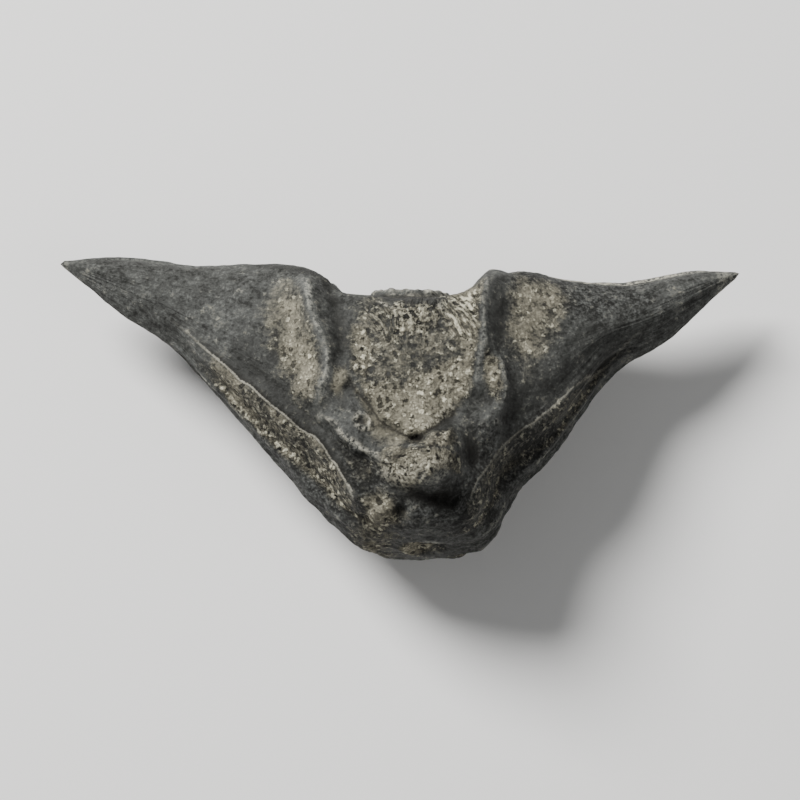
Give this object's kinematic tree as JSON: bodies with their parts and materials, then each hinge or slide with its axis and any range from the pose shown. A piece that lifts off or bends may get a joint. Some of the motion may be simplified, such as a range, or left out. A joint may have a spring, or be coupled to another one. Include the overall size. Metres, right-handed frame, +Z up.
{
  "type": "water caltrop nut",
  "caption": "Dried water caltrop nut: a dark woody shell with two broad pointed horns, ribbed faces, a ringed crown and a knob below the face, lying on its back.",
  "frame": {"origin": "middle of the nut's box in plan, on the surface it lies on", "axes": "+X from the left horn's tip to the right horn's, +Y from the stem end to the crown, +Z up, out of the front face"},
  "size_m": [0.069, 0.031, 0.0218],
  "materials": {
    "woody_shell": "dry, dark and woody, with smooth ridges and a pale gritty crust"
  },
  "bodies": {
    "root": {"nut": "woody_shell"}
  },
  "joints": []
}
